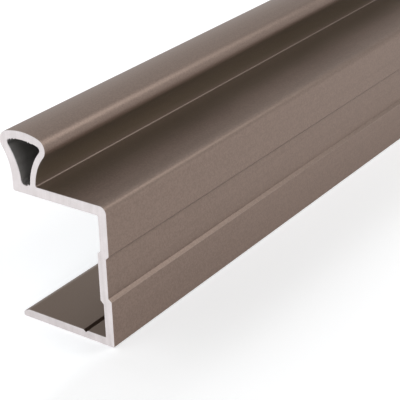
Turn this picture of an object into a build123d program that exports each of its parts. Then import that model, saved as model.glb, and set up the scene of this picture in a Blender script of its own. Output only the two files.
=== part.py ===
from build123d import *
from math import sqrt
import os

# Handle profile for the edge of a furniture board, extruded in one piece from aluminium, in millimetres.
# A channel takes the edge of the board, and a hollow rib on its shelf is the grip.
# The length runs along X. A point of the section is (depth, height):
# depth is measured from the show face of the web, and height from the floor.

# Stock
stock_length = 1000.0

# Channel for the board
board_thickness = 18.0
board_clearance = 0.2
base_wall = 1.2
web_wall = 1.35
shelf_wall = 1.45
base_depth = 16.0
inner_corner_radius = 0.2

# Recessed band along the web, which the back of the web follows
band_height = 6.9
band_depth = 0.5
band_back_margin = 0.55

# Outer corners of the channel
shelf_corner_radius = 1.0
base_corner_radius = 0.25
shelf_end_radius = 0.3

# Free edge of the base
tip_chamfer_depth = 1.0
tip_chamfer_drop = 0.5
tip_radius = 0.25

# Scribed drilling line in the base
groove_from_face = 4.85
groove_width = 0.75
groove_depth = 0.33

# Grip rib on the shelf, with a half width on each side and a waist low on each flank
rib_from_face = 13.5
rib_height = 7.5
rib_half_width = 3.9
rib_crown_radius = 9.0
rib_shoulder_radius = 1.55
near_waist = 1.75
far_waist = 2.3
near_waist_drop = 0.35
far_waist_rise = 0.35
neck_fillet_radius = 0.3

# Chamber inside the rib
crown_wall = 1.1
near_wall = 0.9
far_shoulder_wall = 1.25
far_neck_wall = 1.65
chamber_floor_wall = 1.3
chamber_crown_radius = 8.4
chamber_shoulder_radius = 0.48
chamber_corner_radius = 0.6

# Heights and depths that follow from the sizes above
shelf_underside = base_wall + board_thickness + board_clearance
shelf_top = shelf_underside + shelf_wall
overall_height = shelf_top + rib_height
overall_depth = max(base_depth, rib_from_face + rib_half_width)
channel_middle = (base_wall + shelf_underside) / 2


def arc_about(centre, start, end):
    """Shorter arc about a centre from start to end."""
    middle = (start - centre).normalized() + (end - centre).normalized()
    return ThreePointArc(start, centre + middle.normalized() * (start - centre).length, end)


def rib_side(side, top, crown_radius, shoulder_radius, half_width, waist, waist_height):
    """Shoulder on one side of the rib, and the circle of the flank below it.

    The shoulder circle touches the crown circle from inside and is half_width wide. The flank circle
    touches the shoulder from outside, and is nearest to the rib's middle, by waist, at waist_height.
    Side is -1 towards the web and 1 away from it.
    """
    shoulder_reach = half_width - shoulder_radius
    shoulder_rise = sqrt((crown_radius - shoulder_radius) ** 2 - shoulder_reach**2)
    crown_centre = Vector(rib_from_face, top - crown_radius)
    shoulder_centre = crown_centre + Vector(side * shoulder_reach, shoulder_rise)

    drop = shoulder_centre.Y - waist_height
    step = waist - shoulder_reach
    flank_radius = (drop**2 + step**2 - shoulder_radius**2) / (2 * (shoulder_radius - step))
    flank_centre = Vector(rib_from_face + side * (waist + flank_radius), waist_height)

    crown_end = crown_centre + (shoulder_centre - crown_centre).normalized() * crown_radius
    shoulder_end = shoulder_centre + (flank_centre - shoulder_centre).normalized() * shoulder_radius
    shoulder = arc_about(shoulder_centre, crown_end, shoulder_end)
    return shoulder, flank_centre, flank_radius


def flank_to_level(side, shoulder, flank_centre, flank_radius, level, corner_radius, outward):
    """Flank from the shoulder down to a rounded corner on a level line.

    The corner circle stands on the line. It touches the flank circle from inside where the corner
    turns outward, away from the rib's middle, and from outside where it turns inward.
    """
    reach = flank_radius - outward * corner_radius
    rise = level + corner_radius - flank_centre.Y
    corner_centre = flank_centre + Vector(-side * sqrt(reach**2 - rise**2), rise)
    flank_end = flank_centre + (corner_centre - flank_centre).normalized() * flank_radius
    foot = corner_centre - Vector(0, corner_radius)
    return [arc_about(flank_centre, shoulder @ 1, flank_end), arc_about(corner_centre, flank_end, foot)]


def channel_path(start, end):
    """From the foot of the rib over the shelf, down the web, round the base and back to the rib."""
    band_top = channel_middle + band_height / 2
    band_bottom = channel_middle - band_height / 2
    back_top = band_top + band_back_margin
    back_bottom = band_bottom - band_back_margin
    back_depth = web_wall + band_depth
    corners = [
        ((0, shelf_top), shelf_corner_radius),
        ((0, band_top), 0),
        ((band_depth, band_top - band_depth), 0),
        ((band_depth, band_bottom + band_depth), 0),
        ((0, band_bottom), 0),
        ((0, 0), base_corner_radius),
        ((base_depth, 0), tip_radius),
        ((base_depth, base_wall - tip_chamfer_drop), tip_radius),
        ((base_depth - tip_chamfer_depth, base_wall), tip_radius),
        ((groove_from_face + groove_width / 2, base_wall), 0),
        ((groove_from_face, base_wall - groove_depth), 0),
        ((groove_from_face - groove_width / 2, base_wall), 0),
        ((web_wall, base_wall), inner_corner_radius),
        ((web_wall, back_bottom), 0),
        ((back_depth, back_bottom + band_depth), 0),
        ((back_depth, back_top - band_depth), 0),
        ((web_wall, back_top), 0),
        ((web_wall, shelf_underside), inner_corner_radius),
        ((rib_from_face + far_waist, shelf_underside), shelf_end_radius),
    ]
    points = [start] + [point for point, radius in corners] + [end]
    return FilletPolyline(*points, radius=[radius for point, radius in corners]).edges()


def outer_face():
    """Section without its chamber."""
    shape = (overall_height, rib_crown_radius, rib_shoulder_radius, rib_half_width)
    near, *near_circle = rib_side(-1, *shape, near_waist, shelf_top - near_waist_drop)
    far, *far_circle = rib_side(1, *shape, far_waist, shelf_top + far_waist_rise)
    crown = ThreePointArc(far @ 0, (rib_from_face, overall_height), near @ 0)
    near_flank = flank_to_level(-1, near, *near_circle, shelf_top, neck_fillet_radius, outward=1)
    neck = Vector(rib_from_face + far_waist, shelf_top + far_waist_rise)
    far_flank = arc_about(far_circle[0], far @ 1, neck)
    channel = channel_path(near_flank[-1] @ 1, neck)
    return make_face([crown, near, *near_flank, *channel, far_flank, far])


def chamber_face():
    """Hollow of the rib, inside its walls."""
    top = overall_height - crown_wall
    floor = shelf_underside + chamber_floor_wall
    waist_height = shelf_top - near_waist_drop
    shape = (top, chamber_crown_radius, chamber_shoulder_radius)
    near, *near_circle = rib_side(-1, *shape, rib_half_width - near_wall, near_waist - near_wall, waist_height)
    far_sizes = (rib_half_width - far_shoulder_wall, far_waist - far_neck_wall)
    far, *far_circle = rib_side(1, *shape, *far_sizes, waist_height)
    crown = ThreePointArc(far @ 0, (rib_from_face, top), near @ 0)
    near_flank = flank_to_level(-1, near, *near_circle, floor, chamber_corner_radius, outward=-1)
    far_flank = flank_to_level(1, far, *far_circle, floor, chamber_corner_radius, outward=-1)
    bottom = Line(near_flank[-1] @ 1, far_flank[-1] @ 1)
    return make_face([crown, near, *near_flank, bottom, *far_flank, far])


def handle_profile():
    """The profile, centred on its length and depth, with its base on the floor."""
    section = outer_face() - chamber_face()
    start = Plane(origin=(-stock_length / 2, -overall_depth / 2, 0), x_dir=(0, 1, 0), z_dir=(1, 0, 0))
    return extrude(start * section, amount=stock_length)


os.makedirs("parts", exist_ok=True)
export_step(handle_profile(), "parts/handle_profile.step")
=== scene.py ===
from math import radians
import bpy
import numpy as np
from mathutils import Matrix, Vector
from mathutils.geometry import delaunay_2d_cdt


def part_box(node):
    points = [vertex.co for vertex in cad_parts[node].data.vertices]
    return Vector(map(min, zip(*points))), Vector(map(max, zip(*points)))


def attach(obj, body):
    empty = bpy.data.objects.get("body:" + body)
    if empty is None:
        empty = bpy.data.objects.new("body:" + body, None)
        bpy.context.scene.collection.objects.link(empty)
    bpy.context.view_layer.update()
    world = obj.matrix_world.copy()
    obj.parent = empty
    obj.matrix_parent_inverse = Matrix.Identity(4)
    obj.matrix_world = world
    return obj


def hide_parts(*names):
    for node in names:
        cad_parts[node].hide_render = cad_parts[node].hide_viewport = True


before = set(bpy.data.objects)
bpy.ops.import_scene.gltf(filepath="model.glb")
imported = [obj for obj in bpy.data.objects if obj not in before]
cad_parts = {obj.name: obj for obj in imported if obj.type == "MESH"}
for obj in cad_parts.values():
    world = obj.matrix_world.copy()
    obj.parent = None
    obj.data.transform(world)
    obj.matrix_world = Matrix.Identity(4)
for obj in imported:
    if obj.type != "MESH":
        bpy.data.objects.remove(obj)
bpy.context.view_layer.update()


# The handle profile: one length of aluminium extruded through a die, with a channel for the edge of a board
# and a hollow rib on its shelf as the grip. Its skin is etched to a satin, anodised bronze, and then the bar
# is sawn across, which leaves bare metal and a ragged burr at the mouth of the hollow.
MM = 0.001
bar_low, bar_high = (np.array(corner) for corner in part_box("handle_profile"))
near_end, far_end, web_face = bar_low[0], bar_high[0], bar_low[1]

# Sizes of the channel's section in millimetres, by depth from the web's face and height from the floor. They
# are the solid's, but for lower_step_rise, which raises the outer corner of the recessed band's lower step.
base_wall = 1.2
web_wall = 1.35
shelf_wall = 1.45
channel_gap = 18.2
base_depth = 16.0
base_corner_radius = 0.25
tip_slope_depth = 1.0
tip_slope_drop = 0.5
tip_radius = 0.25
shelf_corner_radius = 1.0
shelf_tip_radius = 0.3
inside_corner_radius = 0.2
shelf_underside = base_wall + channel_gap
shelf_top = shelf_underside + shelf_wall

channel_middle = (base_wall + shelf_underside) / 2
band_depth = 0.5
band_half = 3.45
band_back_half = 4.0
band_top, band_bottom = channel_middle + band_half, channel_middle - band_half
lower_step_rise = 0.12

line_from_face = 4.85
line_half = 0.375
line_depth = 0.33

# Sizes of the rib and of the chamber in it. They are the solid's, but for a tighter fillet at the neck.
rib_from_face = 13.5
rib_height = 7.5
rib_half = 3.9
rib_crown_radius = 9.0
rib_shoulder_radius = 1.55
near_waist = 1.75
far_waist = 2.3
waist_offset = 0.35
neck_fillet_radius = 0.2
rib_top = shelf_top + rib_height

crown_wall = 1.1
near_wall = 0.9
far_shoulder_wall = 1.25
far_neck_wall = 1.65
chamber_floor_wall = 1.3
chamber_crown_radius = 8.4
chamber_shoulder_radius = 0.48
chamber_corner_radius = 0.6

# Degrees between the points of an arc, at most
long_arc_step = 1.5
shoulder_step = 3
corner_step = 6
fillet_step = 10


def arc(centre, radius, start, end, step):
    """Points centre + radius * (cos, sin) of bearings from start to end, in degrees, at most step apart.
    An arc has 3 points at least."""
    count = max(3, int(np.ceil(abs(end - start) / step)) + 1)
    bearing = np.radians(np.linspace(start, end, count))
    return np.array(centre) + radius * np.stack([np.cos(bearing), np.sin(bearing)], axis=1)


def bearing_of(centre, point):
    """Bearing of a point seen from a centre: the arctangent of its rise over its reach, in degrees."""
    return np.degrees(np.arctan2(point[1] - centre[1], point[0] - centre[0]))


def rib_circles(top, crown_radius, shoulder_radius, half, waist, waist_height):
    """Crown, shoulder and flank circles of one side of a rib whose middle is at 0, each (centre, radius).

    The shoulder touches the crown from inside and reaches half. The flank touches the shoulder from outside
    and comes nearest to the middle, by waist, at waist_height: its radius r solves
    drop^2 + (waist + r - reach)^2 = (shoulder_radius + r)^2.
    """
    reach = half - shoulder_radius
    crown = np.array([0.0, top - crown_radius])
    shoulder = crown + [reach, np.sqrt((crown_radius - shoulder_radius) ** 2 - reach**2)]
    step = waist - reach
    drop = shoulder[1] - waist_height
    flank_radius = (drop**2 + step**2 - shoulder_radius**2) / (2 * (shoulder_radius - step))
    flank = np.array([waist + flank_radius, waist_height])
    return (crown, crown_radius), (shoulder, shoulder_radius), (flank, flank_radius)


def rib_side(circles, end_bearing):
    """Points from the crown's top, over the shoulder, down the flank to a bearing on the flank's circle."""
    (crown, crown_radius), (shoulder, shoulder_radius), (flank, flank_radius) = circles
    to_shoulder = bearing_of(crown, shoulder)
    to_flank = bearing_of(shoulder, flank)
    return np.concatenate([
        arc(crown, crown_radius, 90, to_shoulder, long_arc_step),
        arc(shoulder, shoulder_radius, to_shoulder, to_flank, shoulder_step)[1:],
        arc(flank, flank_radius, to_flank + 180, end_bearing, long_arc_step)[1:],
    ])


def corner_on_level(flank, flank_radius, level, radius, side):
    """Centre of a corner circle that stands on a level line and touches the flank's circle.

    It is flank_radius - side * radius from the flank's centre and radius above the line. Side is 1 for a
    corner outside the rib, which the flank's circle goes round, and -1 for one in the chamber.
    """
    rise = level + radius - flank[1]
    return flank + [-np.sqrt((flank_radius - side * radius) ** 2 - rise**2), rise]


def rounded_path(points, radii):
    """Straight runs through the points, each corner rounded: its arc's centre is radius / sin(half the
    corner's angle) along the bisector, and the runs end radius / tan(half the angle) before the corner."""
    points = np.array(points, float)
    path = [points[:1]]
    for before, corner, after, radius in zip(points, points[1:], points[2:], radii):
        if radius == 0:
            path.append(corner[None])
            continue
        to_before = (before - corner) / np.linalg.norm(before - corner)
        to_after = (after - corner) / np.linalg.norm(after - corner)
        half = np.arccos(np.clip(to_before @ to_after, -1, 1)) / 2
        bisector = (to_before + to_after) / np.linalg.norm(to_before + to_after)
        centre = corner + bisector * radius / np.sin(half)
        start = bearing_of(centre, corner + to_before * radius / np.tan(half))
        end = bearing_of(centre, corner + to_after * radius / np.tan(half))
        shorter_turn = (end - start + 180) % 360 - 180
        path.append(arc(centre, radius, start, start + shorter_turn, corner_step))
    path.append(points[-1:])
    return np.concatenate(path)


def outer_outline():
    """Outside of the section as (depth from the web's face, height) in mm, from the crown's top towards
    the web, down it, round the base, up inside the channel and back over the rib's far side."""
    shape = (rib_top, rib_crown_radius, rib_shoulder_radius, rib_half)
    near = rib_circles(*shape, near_waist, shelf_top - waist_offset)
    far = rib_circles(*shape, far_waist, shelf_top + waist_offset)
    flank, flank_radius = near[2]
    fillet = corner_on_level(flank, flank_radius, shelf_top, neck_fillet_radius, side=1)
    meeting = bearing_of(flank, fillet) % 360
    near_half = np.concatenate([
        rib_side(near, meeting),
        arc(fillet, neck_fillet_radius, meeting, 270, fillet_step)[1:],
    ])
    near_points = near_half * [-1, 1] + [rib_from_face, 0]
    far_points = rib_side(far, 180) + [rib_from_face, 0]
    back_top, back_bottom = channel_middle + band_back_half, channel_middle - band_back_half
    back = web_wall + band_depth
    corners = [
        ((0, shelf_top), shelf_corner_radius),
        ((0, band_top), 0),
        ((band_depth, band_top - band_depth), 0),
        ((band_depth, band_bottom + band_depth), 0),
        ((0, band_bottom + lower_step_rise), 0),
        ((0, 0), base_corner_radius),
        ((base_depth, 0), tip_radius),
        ((base_depth, base_wall - tip_slope_drop), tip_radius),
        ((base_depth - tip_slope_depth, base_wall), tip_radius),
        ((line_from_face + line_half, base_wall), 0),
        ((line_from_face, base_wall - line_depth), 0),
        ((line_from_face - line_half, base_wall), 0),
        ((web_wall, base_wall), inside_corner_radius),
        ((web_wall, back_bottom), 0),
        ((back, back_bottom + band_depth), 0),
        ((back, back_top - band_depth), 0),
        ((web_wall, back_top), 0),
        ((web_wall, shelf_underside), inside_corner_radius),
        ((rib_from_face + far_waist, shelf_underside), shelf_tip_radius),
    ]
    path = [near_points[-1]] + [point for point, radius in corners] + [far_points[-1]]
    channel = rounded_path(path, [radius for point, radius in corners])
    return np.concatenate([near_points, channel[1:], far_points[::-1][1:-1]])


def chamber_outline():
    """Inside of the rib as (depth, height) in mm, from its top towards the web, over its floor and back."""
    floor = shelf_underside + chamber_floor_wall
    shape = (rib_top - crown_wall, chamber_crown_radius, chamber_shoulder_radius)
    waist_height = shelf_top - waist_offset
    near = rib_circles(*shape, rib_half - near_wall, near_waist - near_wall, waist_height)
    far = rib_circles(*shape, rib_half - far_shoulder_wall, far_waist - far_neck_wall, waist_height)
    halves = []
    for circles in (near, far):
        flank, flank_radius = circles[2]
        corner = corner_on_level(flank, flank_radius, floor, chamber_corner_radius, side=-1)
        meeting = bearing_of(flank, corner) % 360
        halves.append(np.concatenate([
            rib_side(circles, meeting),
            arc(corner, chamber_corner_radius, meeting - 180, -90, fillet_step)[1:],
        ]))
    return np.concatenate([halves[0] * [-1, 1], halves[1][::-1][:-1]]) + [rib_from_face, 0]


def round_the_outline(outline):
    """Distance round a closed outline to each of its points, and all the way round, in mm."""
    runs = np.linalg.norm(np.roll(outline, -1, axis=0) - outline, axis=1)
    return np.concatenate([[0.0], np.cumsum(runs)])


def at_distance(outline, distance):
    """Points of a closed outline at distances round it, by straight runs between its own points."""
    along = round_the_outline(outline)
    closed = np.concatenate([outline, outline[:1]])
    distance = np.mod(distance, along[-1])
    return np.stack([np.interp(distance, along, values) for values in closed.T], axis=-1)


def bend(outline, reach):
    """How far the outline turns at each point, in degrees, positive on an outer corner: the angle between
    the chord from reach before the point and the chord to reach after it."""
    along = round_the_outline(outline)[:-1]
    before = outline - at_distance(outline, along - reach)
    after = at_distance(outline, along + reach) - outline
    cross = before[:, 0] * after[:, 1] - before[:, 1] * after[:, 0]
    return np.degrees(np.arctan2(cross, np.sum(before * after, axis=1)))


def with_more_points(outline, spacing, margins=()):
    """The outline with points added at most spacing apart, in mm, and at margins each side of its sharp
    corners. Its own points stay, less any within least_run of the one before, and new points keep a
    clearance from them."""
    least_run = 0.01
    clearance = 0.015
    sharp_reach, sharp_bend = 0.02, 20
    along = round_the_outline(outline)
    own = along[:-1][np.concatenate([[True], np.diff(along[:-1]) > least_run])]
    sharp = along[:-1][np.abs(bend(outline, sharp_reach)) > sharp_bend]
    extra = [np.arange(0, along[-1], spacing)]
    for margin in margins:
        extra += [sharp - margin, sharp + margin]
    extra = np.unique(np.round(np.mod(np.concatenate(extra), along[-1]), 2))
    to_own = np.abs(extra[:, None] - np.append(own, along[-1])).min(axis=1)
    return at_distance(outline, np.sort(np.concatenate([own, extra[to_own > clearance]])))


def outward_offsets(outline):
    """Outward offset at each point that moves both runs there by 1: 2 (a + b) / |a + b|^2, where a and b
    are the unit normals of the two runs that meet at the point."""
    run = np.roll(outline, -1, axis=0) - outline
    normal = np.stack([run[:, 1], -run[:, 0]], axis=1) / np.linalg.norm(run, axis=1)[:, None]
    both = normal + np.roll(normal, 1, axis=0)
    return both * 2 / np.sum(both**2, axis=1)[:, None]


def rings_along(outline, stations, offsets):
    """Rings of points: point (i, j) is outline point j moved outward by offsets[i, j], in mm, at station i
    along X, in metres."""
    section = outline[None] + outward_offsets(outline)[None] * offsets[..., None]
    grid = np.empty((len(stations), len(outline), 3))
    grid[..., 0] = stations[:, None]
    grid[..., 1] = web_face + section[..., 0] * MM
    grid[..., 2] = section[..., 1] * MM
    return grid.reshape(-1, 3)


def quads_between(rings, points):
    """Corners of the quads between rings of points, in turn round the outline and then along X."""
    ring, place = np.meshgrid(np.arange(rings - 1), np.arange(points), indexing="ij")
    here, beside = ring * points + place, ring * points + (place + 1) % points
    return np.stack([here, beside, beside + points, here + points], axis=-1).reshape(-1, 4)


def strip_places(outline, stations, left, right):
    """Map places of the corners of those quads: across by the distance round the outline, from left to
    right, and up by X."""
    margin = 0.005
    along = round_the_outline(outline)
    across = left + (right - left) * along / along[-1]
    up = margin + (1 - 2 * margin) * (stations - stations[0]) / (stations[-1] - stations[0])
    i, j = np.meshgrid(np.arange(len(stations) - 1), np.arange(len(outline)), indexing="ij")
    corners = [(i, j), (i, j + 1), (i + 1, j + 1), (i + 1, j)]
    return np.stack([np.stack([across[b], up[a]], -1) for a, b in corners], axis=2).reshape(-1, 4, 2)


def fade(value, start, end):
    """Share from 0 at start to 1 at end: (value - start) / (end - start), kept between 0 and 1."""
    return np.clip((value - start) / (end - start), 0, 1)


def mound(outline, place, width):
    """Share of each point of an outline that falls off round a place: exp(-(distance / width)^2)."""
    return np.exp(-np.sum((outline - place) ** 2, axis=1) / width**2)


def ragged(count, seed, slowest, fastest):
    """A closed uneven line from 0 to 1: a sum of waves round the outline with seeded phases, each weaker
    than the last by the square root of its number."""
    chance = np.random.default_rng(seed)
    turn = np.linspace(0, 2 * np.pi, count, endpoint=False)
    wave = np.arange(slowest, fastest)[:, None]
    phase = chance.uniform(0, 2 * np.pi, wave.shape)
    line = np.sum(np.sin(wave * turn + phase) / np.sqrt(wave), axis=0)
    return (line - line.min()) / np.ptp(line)


outer = with_more_points(outer_outline(), spacing=0.9, margins=(0.06, 0.15, 0.3))
chamber = with_more_points(chamber_outline(), spacing=0.06)

# The rings stand at even stations along the bar, with closer ones at each end: for the broken edge of the saw
# cut and the strip of worn skin beside it, and for the lip of the chamber.
sawn_edge_break = 0.05
worn_width = 0.3
inner_count = 11
end_margin = 2 * MM
inner_stations = np.linspace(near_end + end_margin, far_end - end_margin, inner_count)
outer_steps = np.array([0, sawn_edge_break, sawn_edge_break + worn_width]) * MM
outer_stations = np.concatenate([near_end + outer_steps, inner_stations, (far_end - outer_steps)[::-1]])
outer_offsets = np.zeros((len(outer_stations), len(outer)))
outer_offsets[[0, -1]] = -sawn_edge_break

lip_steps = np.array([0, 0.03, 0.08, 0.16]) * MM
chamber_stations = np.concatenate([near_end + lip_steps, inner_stations, (far_end - lip_steps)[::-1]])
chamber_offsets = np.zeros((len(chamber_stations), len(chamber)))

# The edge of the chamber's mouth is broken too. A burr stands in from it along the top, and most in the top
# corner away from the web. Low on the web's side are one larger tooth and, beside it, a chip. All of it
# weakens from ring to ring of the lip, and each end has a seed of its own.
mouth_break = 0.045
burr_depth = 0.46
burr_below_crown = 1.2
burr_from_middle = -1.9
burr_along_top = 0.5
corner_burr_from, corner_burr_full = 1.2, 2
lip_shares = (1, 0.75, 0.3)
tooth_place, tooth_height, tooth_width = (12.95, 20.75), 0.28, 0.11
chip_place, chip_depth, chip_width = (12.62, 20.85), 0.1, 0.16

from_middle = chamber[:, 0] - rib_from_face
along_top = (chamber[:, 1] > rib_top - crown_wall - burr_below_crown) & (from_middle > burr_from_middle)
burr_share = along_top * np.maximum(burr_along_top, fade(from_middle, corner_burr_from, corner_burr_full))
tooth = tooth_height * mound(chamber, tooth_place, tooth_width)
chip = chip_depth * mound(chamber, chip_place, chip_width)
near_lip, far_lip = (0, 1, 7), (len(chamber_stations) - 1, -1, 8)
for end, inward, seed in (near_lip, far_lip):
    uneven = ragged(len(chamber), seed, slowest=25, fastest=140) ** 2
    burr = burr_depth * burr_share * uneven + tooth - chip - mouth_break
    for ring, share in enumerate(lip_shares):
        chamber_offsets[end + inward * ring] = -burr * share

outer_points = rings_along(outer, outer_stations, outer_offsets)
chamber_points = rings_along(chamber, chamber_stations, chamber_offsets)
outer_quads = quads_between(len(outer_stations), len(outer))
chamber_quads = quads_between(len(chamber_stations), len(chamber)) + len(outer_points)
points = np.concatenate([outer_points, chamber_points])


def end_face(station, facing):
    """Triangles between the outer ring and the chamber's ring at one end, turned to face along X."""
    outer_ring = np.arange(len(outer_points)).reshape(-1, len(outer))[station]
    chamber_ring = np.arange(len(chamber_points)).reshape(-1, len(chamber))[station] + len(outer_points)
    ring = np.concatenate([outer_ring, chamber_ring])
    flat = points[ring][:, 1:] / MM
    loops = [list(range(len(outer))), list(range(len(outer), len(ring)))]
    inside_less_holes = 2
    same_place = 1e-6
    filled = delaunay_2d_cdt([Vector(at) for at in flat], [], loops, inside_less_holes, same_place)
    came_from = np.array([sources[0] for sources in filled[3]])
    corners = came_from[np.array(filled[2])]
    return ring[corners if facing > 0 else corners[:, ::-1]]


near_face, far_face = end_face(0, -1), end_face(-1, 1)
faces = outer_quads.tolist() + chamber_quads[:, ::-1].tolist() + near_face.tolist() + far_face.tolist()
sharp_angle = 25

mesh = bpy.data.meshes.new("handle_profile_skin")
mesh.from_pydata(points.tolist(), [], faces)
mesh.shade_smooth()
mesh.set_sharp_from_angle(angle=radians(sharp_angle))

# The skin is bronze and the chamber plain metal. The sawn ends are bare, with the edge round them and the
# first two rows of quads inside the chamber.
bronze_slot, bare_slot, mill_slot = 0, 1, 2
bare_rows = 2
outer_slots = np.full((len(outer_stations) - 1, len(outer)), bronze_slot)
outer_slots[[0, -1]] = bare_slot
chamber_slots = np.full((len(chamber_stations) - 1, len(chamber)), mill_slot)
chamber_slots[:bare_rows] = chamber_slots[-bare_rows:] = bare_slot
end_slots = np.full(len(near_face) + len(far_face), bare_slot)
slots = np.concatenate([outer_slots.ravel(), chamber_slots.ravel(), end_slots])
mesh.polygons.foreach_set("material_index", slots.astype(np.int32))

# The map that holds the finishes: the skin in one tall strip, the chamber beside it,
# and the two sawn ends on the right, each placed by its lower left corner.
skin_strip = (0.005, 0.625)
chamber_strip = (0.64, 0.71)
near_cap, far_cap = (0.72, 0.02), (0.72, 0.52)
cap_width = 0.27
section_depth = rib_from_face + rib_half


def cap_places(face, corner):
    """Map places of an end: its depth and height, scaled to cap_width, from a lower left corner."""
    at = (points[face][..., 1:] - [web_face, 0]) / MM
    return corner + cap_width * at / section_depth


pieces_of_map = [
    strip_places(outer, outer_stations, *skin_strip),
    strip_places(chamber, chamber_stations, *chamber_strip)[:, ::-1],
    cap_places(near_face, near_cap),
    cap_places(far_face, far_cap),
]
places = np.concatenate([piece.reshape(-1, 2) for piece in pieces_of_map])
mesh.uv_layers.new(name="OFBake").uv.foreach_set("vector", places.astype(np.float32).ravel())

# Marks on the skin, each a share from 0 to 1 at every point. Wear and foot glow: the outer corners and the
# skin next to the saw cut, which are paler from wear, and the foot of the rib, made paler by a painted
# highlight. A corner is one that turns by so many degrees within turn_reach. Channel shade: painted shade
# inside the channel, under the shelf.
tolerance = 0.01
turn_reach = 0.08
worn_turn_from, worn_turn_full = 12, 52
foot_from_waist = 0.15
foot_glow_reach = 1.2
channel_shade_margin = 0.3

depth, height = outer.T
above_shelf = height - shelf_top
to_foot = np.hypot(depth - (rib_from_face - near_waist - foot_from_waist), above_shelf)
corner_wear = fade(bend(outer, turn_reach), worn_turn_from, worn_turn_full)
# Painted highlight: the skin round the foot of the rib is made paler, for the light along its fillet.
foot_glow = fade(to_foot, foot_glow_reach, 0) * (depth < rib_from_face)
wear_and_foot_glow = np.tile(np.maximum(corner_wear, foot_glow), (len(outer_stations), 1))
wear_and_foot_glow[[0, 1, -2, -1]] = 1
# Painted shade: the skin inside the channel, under the shelf, is darkened.
in_channel = (depth > web_wall - tolerance) & (depth < base_depth - channel_shade_margin)
in_channel &= (height > base_wall - line_depth - tolerance) & (height < shelf_underside + tolerance)

# Neck shade tint: a greener colour painted on the shaded flank of the rib below its shoulder, least at its
# foot, and half as much on the shelf beside it.
neck_from, neck_to = 9, 13
neck_top, neck_full = 5.5, 4
neck_foot, neck_foot_full, neck_foot_least = 0.1, 0.6, 0.3
shelf_from, shelf_full, shelf_to, shelf_strength = 5, 8, 12, 0.5

on_flank = (depth > neck_from) & (depth < neck_to) & (above_shelf > 0)
foot_share = np.maximum(fade(above_shelf, neck_foot, neck_foot_full), neck_foot_least)
flank_share = on_flank * fade(above_shelf, neck_top, neck_full) * foot_share
on_shelf = (np.abs(above_shelf) < tolerance) & (depth < shelf_to)
neck_shade_share = np.maximum(flank_share, shelf_strength * on_shelf * fade(depth, shelf_from, shelf_full))

# Crease shade, all painted shade: the dark shadow line of the band's upper step, by the drop below the band's
# top, and painted shade in the fillet at the neck and on the shelf's rounded corner, where it dims the
# highlight.
step_drops = (-0.06, 0, 0.042, 0.21, 0.29, 0.46, 0.5, 0.56, 0.65, 0.8)
step_shares = (0, 1, 0.9, 0.05, 0, 0, 0.05, 0.12, 0.12, 0)
fillet_shade, fillet_shade_reach, fillet_shade_full = 0.35, 0.3, 0.1
corner_shade, corner_shade_reach = 0.25, 0.55
web_below_shelf = 1.5

corner_middle = shelf_corner_radius * (1 - np.sqrt(0.5))
to_corner = np.hypot(depth - corner_middle, above_shelf + corner_middle)
in_fillet = fillet_shade * fade(to_foot, fillet_shade_reach, fillet_shade_full)
# Painted shade on the shelf's rounded corner, which dims its highlight.
on_corner = corner_shade * fade(to_corner, corner_shade_reach, 0)
on_web = (depth < band_depth + tolerance) & (above_shelf < -web_below_shelf)
crease_shade_share = np.where(on_web, np.interp(band_top - height, step_drops, step_shares), in_fillet + on_corner)

skin_marks = (("wear_and_foot_glow", wear_and_foot_glow), ("channel_shade", in_channel), ("neck_shade_tint", neck_shade_share), ("crease_shade", crease_shade_share))
for name, shares in skin_marks:
    on_skin = np.broadcast_to(shares, wear_and_foot_glow.shape).ravel()
    whole = np.concatenate([on_skin, np.zeros(len(chamber_points))])
    mesh.attributes.new(name, "FLOAT", "POINT").data.foreach_set("value", whole.astype(np.float32))


def add(tree, kind, values=None, **settings):
    """A new node with its settings, and with each value set on, or linked to, the input of that name."""
    node = tree.nodes.new(kind)
    for name, setting in settings.items():
        setattr(node, name, setting)
    for name, value in (values or {}).items():
        if isinstance(value, bpy.types.NodeSocket):
            tree.links.new(value, node.inputs[name])
        else:
            node.inputs[name].default_value = value
    return node


def product(tree, first, second):
    """Output of first times second."""
    return add(tree, "ShaderNodeMath", {0: first, 1: second}, operation="MULTIPLY").outputs[0]


def total(tree, first, second):
    """Output of first plus second."""
    return add(tree, "ShaderNodeMath", {0: first, 1: second}, operation="ADD").outputs[0]


def weighted(tree, *terms):
    """Output of the sum of output times weight, over terms that are each (output, weight)."""
    parts = [product(tree, output, weight) for output, weight in terms]
    whole = parts[0]
    for part in parts[1:]:
        whole = total(tree, whole, part)
    return whole


def tinted(tree, colour, share, tint):
    """Output of a colour mixed with a tint by a share. A colour mix has its colours on inputs 6 and 7."""
    return add(tree, "ShaderNodeMix", {0: share, 6: colour, 7: tint}, data_type="RGBA").outputs[2]


def between(tree, value, start, end, low=0, high=1, **settings):
    """Output that runs from low at start to high at end, and stays there unless clamp is off."""
    span = {"Value": value, "From Min": start, "From Max": end, "To Min": low, "To Max": high}
    return add(tree, "ShaderNodeMapRange", span, **settings).outputs[0]


def range_of(tree, value, low, high):
    """Output that runs from low to high as the value runs from -1 to 1, and on past them."""
    return between(tree, value, -1, 1, low, high, clamp=False)


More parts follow.
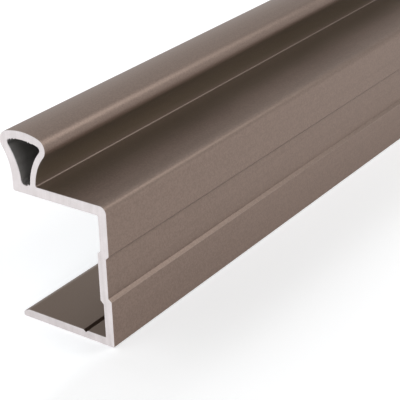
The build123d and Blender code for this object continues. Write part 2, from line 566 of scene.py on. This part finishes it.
def satin_skin():
    """Group for metal that went through a die: fine matt grain, streaks that run with the length and slow
    clouds. Each is a noise on Object coordinates, spread to about -1 to 1, and the streaks' noise is
    stretched a hundredfold along X."""
    clouds_per_metre = 45
    stretch = (0.01, 1, 1)
    noise_low, noise_high = 0.25, 0.75
    group = bpy.data.node_groups.new("satin skin", "ShaderNodeTree")
    group.interface.new_socket("Coordinates", in_out="INPUT", socket_type="NodeSocketVector")
    group.interface.new_socket("Grain per metre", in_out="INPUT", socket_type="NodeSocketFloat")
    group.interface.new_socket("Streaks per metre", in_out="INPUT", socket_type="NodeSocketFloat")
    for name in ("Grain", "Streaks", "Clouds"):
        group.interface.new_socket(name, in_out="OUTPUT", socket_type="NodeSocketFloat")
    taken = group.nodes.new("NodeGroupInput")
    given = group.nodes.new("NodeGroupOutput")
    where, grain, streaks = taken.outputs[:3]
    stretched = add(group, "ShaderNodeVectorMath", {0: where, 1: stretch}, operation="MULTIPLY").outputs[0]
    for name, at, scale, detail in (
        ("Grain", where, grain, 2),
        ("Streaks", stretched, streaks, 4),
        ("Clouds", where, clouds_per_metre, 2),
    ):
        noise = add(group, "ShaderNodeTexNoise", {"Vector": at, "Scale": scale, "Detail": detail}).outputs[0]
        spread = between(group, noise, noise_low, noise_high, -1, 1, clamp=False)
        group.links.new(spread, given.inputs[name])
    return group


skin_group = satin_skin()


def skin_in(tree, grain_per_metre, streaks_per_metre):
    """Outputs of the satin skin placed in a material: grain, streaks and clouds."""
    where = tree.nodes.new("ShaderNodeTexCoord").outputs["Object"]
    values = {
        "Coordinates": where,
        "Grain per metre": grain_per_metre,
        "Streaks per metre": streaks_per_metre,
    }
    return add(tree, "ShaderNodeGroup", values, node_tree=skin_group).outputs


def metal(name):
    """A new metal material, added to the mesh as its next slot: its node tree and its shader."""
    material = bpy.data.materials.new(name)
    material.use_nodes = True
    shader = material.node_tree.nodes["Principled BSDF"]
    shader.inputs["Metallic"].default_value = 1
    mesh.materials.append(material)
    return material.node_tree, shader


def set_bump(tree, shader, relief, strength, distance):
    """Give a shader the bump of a relief: where it rises by 1, the surface seems to rise by distance."""
    bump = add(tree, "ShaderNodeBump", {"Strength": strength, "Distance": distance, "Height": relief})
    tree.links.new(bump.outputs["Normal"], shader.inputs["Normal"])


# Bronze anodising: a thin coloured film that keeps the etched grain of the metal under it. It is paler where
# it is worn and at the foot of the rib, by a painted highlight, darker by painted shade inside the channel
# and in the creases, and a little greener by a tint painted on the shaded neck of the rib.
bronze_pale = (0.254, 0.194, 0.163, 1)
bronze_deep = (0.208, 0.157, 0.131, 1)
# Paler: wear on corners and by the saw cut, and a painted highlight at the foot of the rib.
bronze_wear_and_glow = (0.34, 0.28, 0.25, 1)
# Painted shade inside the channel.
bronze_channel_shade = (0.170, 0.129, 0.104, 1)
# A greener tint painted on the shaded neck, for the colour of its shade.
bronze_neck_shade = (0.215, 0.182, 0.142, 1)
# Painted shade: the upper step's shadow line, the neck's fillet and the shelf's corner.
bronze_crease_shade = (0.095, 0.070, 0.056, 1)
bronze_roughness = (0.44, 0.50)
bronze_tints = (
    ("channel_shade", bronze_channel_shade, 1),
    ("neck_shade_tint", bronze_neck_shade, 1),
    ("wear_and_foot_glow", bronze_wear_and_glow, 0.35),
    ("crease_shade", bronze_crease_shade, 1),
)

tree, shader = metal("bronze anodised")
grain, streaks, clouds = skin_in(tree, grain_per_metre=4200, streaks_per_metre=1300)
tone = weighted(tree, (grain, 1.7), (streaks, 0.4), (clouds, 0.3))
colour = tinted(tree, bronze_deep, range_of(tree, tone, 0, 1), bronze_pale)
for name, tint, strength in bronze_tints:
    mark = add(tree, "ShaderNodeAttribute", attribute_name=name).outputs["Fac"]
    colour = tinted(tree, colour, product(tree, mark, strength), tint)
tree.links.new(colour, shader.inputs["Base Color"])
tree.links.new(range_of(tree, total(tree, grain, clouds), *bronze_roughness), shader.inputs["Roughness"])
set_bump(tree, shader, weighted(tree, (grain, 0.6), (streaks, 0.4)), strength=0.6, distance=0.015 * MM)

# The sawn ends: bare metal, bright and slightly pink, with the blade's marks as shallow arcs across it and
# broad bands where it slowed. The marks and bands go by the distance from the blade's hub.
blade_radius = 0.16
hub_height = 0.016
blade_hub = (0, web_face - blade_radius, hub_height)
bare_bright = (0.86, 0.83, 0.845, 1)
bare_dull = (0.70, 0.67, 0.675, 1)
dull_tone, bright_tone = 0.65, 1.3
bare_roughness = (0.475, 0.6)

tree, shader = metal("sawn aluminium")
where = tree.nodes.new("ShaderNodeTexCoord").outputs["Object"]
flat = add(tree, "ShaderNodeVectorMath", {0: where, 1: (0, 1, 1)}, operation="MULTIPLY").outputs[0]
from_hub = add(tree, "ShaderNodeVectorMath", {0: flat, 1: blade_hub}, operation="DISTANCE").outputs["Value"]
marks, bands = (
    add(tree, "ShaderNodeTexNoise", {"W": from_hub, "Scale": per_metre, "Detail": detail},
        noise_dimensions="1D").outputs[0]
    for per_metre, detail in ((9000, 1), (900, 2))
)
specks, patches = (
    add(tree, "ShaderNodeTexNoise", {"Vector": where, "Scale": per_metre, "Detail": detail}).outputs[0]
    for per_metre, detail in ((5000, 3), (420, 2))
)
tone = weighted(tree, (marks, 0.35), (specks, 0.35), (bands, 0.6), (patches, 0.7))
bright = between(tree, tone, dull_tone, bright_tone)
tree.links.new(tinted(tree, bare_dull, bright, bare_bright), shader.inputs["Base Color"])
tree.links.new(between(tree, bands, 0, 1, *bare_roughness), shader.inputs["Roughness"])
set_bump(tree, shader, weighted(tree, (marks, 1), (specks, 0.5)), strength=0.5, distance=0.01 * MM)

# The chamber was never etched or coloured: plain grey metal with the drag lines of the die.
mill_pale = (0.53, 0.515, 0.50, 1)
mill_deep = (0.41, 0.40, 0.39, 1)
mill_roughness = (0.5, 0.6)

tree, shader = metal("mill aluminium")
streaks, clouds = skin_in(tree, grain_per_metre=2500, streaks_per_metre=2200)[1:]
tone = weighted(tree, (streaks, 0.7), (clouds, 0.3))
tree.links.new(tinted(tree, mill_deep, range_of(tree, tone, 0, 1), mill_pale), shader.inputs["Base Color"])
tree.links.new(range_of(tree, streaks, *mill_roughness), shader.inputs["Roughness"])
set_bump(tree, shader, streaks, strength=0.5, distance=0.01 * MM)

profile = bpy.data.objects.new("handle_profile_skin", mesh)
bpy.context.scene.collection.objects.link(profile)
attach(profile, "root")
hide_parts("handle_profile")


# The floor: plain white paper, far wider than the bar, which keeps the bar's shadow. The camera sees it
# whiter than it is lit, by a lift that changes across the bar, beside its foot and past its ends; where the
# lift is lower, in a band beside the web's side of the bar, it paints a broad soft shadow on the floor. What
# the metal mirrors of it is lifted too, evenly. A lift's stops are each (Y in mm, lift).
floor_half = 6.0
floor_white = (0.9, 0.9, 0.9, 1)
floor_roughness = 0.9
lift_colour = (0.96, 1, 1.04)
# Lower lifts beside the web's side of the bar paint a broad soft shadow on the floor.
lift_across = (
    (-49, 0.2), (-29, 0.15), (-25, 0.135), (-21, 0.11), (-10, 0.11), (-8, 0.17), (-6, 0.26), (-4, 0.33),
    (0, 0.36), (9, 0.43), (12, 0.43), (16, 0.39), (20, 0.355), (30, 0.31), (60, 0.26),
)
lift_by_foot = ((-18, 0), (-14, 0.045), (-12, 0.08), (-9, 0.125), (-8, 0.125), (-4, 0))
lift_past_ends = 0.2
lift_in_metal = (0.194, 0.166, 0.156)
foot_ends_at, foot_full_at = far_end + 2 * MM, far_end - 2 * MM
past_from, past_full_at = far_end + 12 * MM, far_end + 50 * MM


def through(tree, value, stops):
    """Output that runs straight from stop to stop, each (value in mm, output), from a value in metres."""
    first, last = stops[0][0], stops[-1][0]
    ramp = add(tree, "ShaderNodeValToRGB", {"Fac": between(tree, value, first * MM, last * MM)})
    elements = ramp.color_ramp.elements
    for at, output in stops[1:-1]:
        elements.new((at - first) / (last - first)).color = (output, output, output, 1)
    for element, (at, output) in ((elements[0], stops[0]), (elements[-1], stops[-1])):
        element.color = (output, output, output, 1)
    return ramp.outputs[0]


floor_mesh = bpy.data.meshes.new("floor")
floor_corners = np.array([(-1, -1, 0), (1, -1, 0), (1, 1, 0), (-1, 1, 0)]) * floor_half
floor_mesh.from_pydata(floor_corners.tolist(), [], [(0, 1, 2, 3)])
paper = bpy.data.materials.new("white paper")
paper.use_nodes = True
tree = paper.node_tree
shader = tree.nodes["Principled BSDF"]
shader.inputs["Base Color"].default_value = floor_white
shader.inputs["Roughness"].default_value = floor_roughness

where = tree.nodes.new("ShaderNodeTexCoord").outputs["Object"]
along, across = add(tree, "ShaderNodeSeparateXYZ", {"Vector": where}).outputs[:2]
from_centre = add(tree, "ShaderNodeMath", {0: along}, operation="ABSOLUTE").outputs[0]
beside_bar = between(tree, from_centre, foot_ends_at, foot_full_at)
past_ends = between(tree, from_centre, past_from, past_full_at, 0, lift_past_ends)
by_foot = product(tree, through(tree, across, lift_by_foot), beside_bar)
by_place = total(tree, through(tree, across, lift_across), past_ends)
lift = total(tree, by_place, by_foot)

seen = tree.nodes.new("ShaderNodeLightPath").outputs
camera_share = product(tree, seen["Is Camera Ray"], lift)
for_camera, for_metal = (
    add(tree, "ShaderNodeVectorMath", {0: tint, "Scale": share}, operation="SCALE").outputs[0]
    for tint, share in ((lift_colour, camera_share), (lift_in_metal, seen["Is Glossy Ray"]))
)
glow = add(tree, "ShaderNodeVectorMath", {0: for_camera, 1: for_metal}, operation="ADD").outputs[0]
tree.links.new(glow, shader.inputs["Emission Color"])
shader.inputs["Emission Strength"].default_value = 1
floor_mesh.materials.append(paper)
floor = bpy.data.objects.new("floor", floor_mesh)
bpy.context.scene.collection.objects.link(floor)


# The studio: a white tent all round, a little dimmer overhead and dimmer still towards the far end, and one
# soft box over the web's side, whose light runs along the rounded corners and fades with the length. The
# camera sees the tent as plain white.
soft_box_place = np.array([0.118, -0.086, 0.136])
soft_box_width = 0.065
soft_box_height = 0.1
soft_box_power = 0.056
sky_at_horizon = 1.0
sky_overhead = 0.89
dimmer_from, dimmest_at = 0.3, 0.65
gap_direction = np.array([0.95, -0.15, 0.3])
gap_edge_cosine = 0.75
gap_share = 0.32

world = bpy.data.worlds.new("white tent")
bpy.context.scene.world = world
world.use_nodes = True
tree = world.node_tree
backdrop = tree.nodes["Background"]
backdrop.inputs["Color"].default_value = (1, 1, 1, 1)
direction = tree.nodes.new("ShaderNodeTexCoord").outputs["Generated"]
rise = add(tree, "ShaderNodeSeparateXYZ", {"Vector": direction}).outputs["Z"]
sky = between(tree, rise, dimmer_from, dimmest_at, sky_at_horizon, sky_overhead)
towards_gap = {0: direction, 1: gap_direction / np.linalg.norm(gap_direction)}
facing_gap = add(tree, "ShaderNodeVectorMath", towards_gap, operation="DOT_PRODUCT").outputs["Value"]
gap = between(tree, facing_gap, gap_edge_cosine, 1, 1, 1 - gap_share, interpolation_type="SMOOTHSTEP")
seen = tree.nodes.new("ShaderNodeLightPath").outputs["Is Camera Ray"]
strength = add(tree, "ShaderNodeMath", {0: product(tree, sky, gap), 1: seen}, operation="MAXIMUM").outputs[0]
tree.links.new(strength, backdrop.inputs["Strength"])

# The soft box is placed from the foot of the near end, and faces it.
lamp = bpy.data.lights.new("soft box", "AREA")
lamp.energy = soft_box_power
lamp.shape = "RECTANGLE"
lamp.size = soft_box_width
lamp.size_y = soft_box_height
soft_box = bpy.data.objects.new("soft box", lamp)
soft_box.location = soft_box_place + [near_end, 0, 0]
from_upright = np.arccos(soft_box_place[2] / np.linalg.norm(soft_box_place))
bearing = np.arctan2(soft_box_place[1], soft_box_place[0])
soft_box.rotation_euler = (from_upright, 0, bearing + radians(90))
soft_box.visible_camera = False
bpy.context.scene.collection.objects.link(soft_box)


# The camera: close to the sawn end, a little above the rib, with a long lens.
camera_from_end = np.array([-0.115148, -0.106447, 0.094797])
camera_turn = np.radians([64.0649, 1.5574, -55.0015])
camera_data = bpy.data.cameras.new("camera")
camera_data.lens = 119.24
camera_data.sensor_width = 36
camera_data.clip_start, camera_data.clip_end = 0.01, 50
camera = bpy.data.objects.new("camera", camera_data)
camera.location = camera_from_end + [near_end, 0, 0]
camera.rotation_euler = camera_turn
bpy.context.scene.collection.objects.link(camera)
bpy.context.scene.camera = camera
bpy.context.scene.view_settings.view_transform = "Standard"
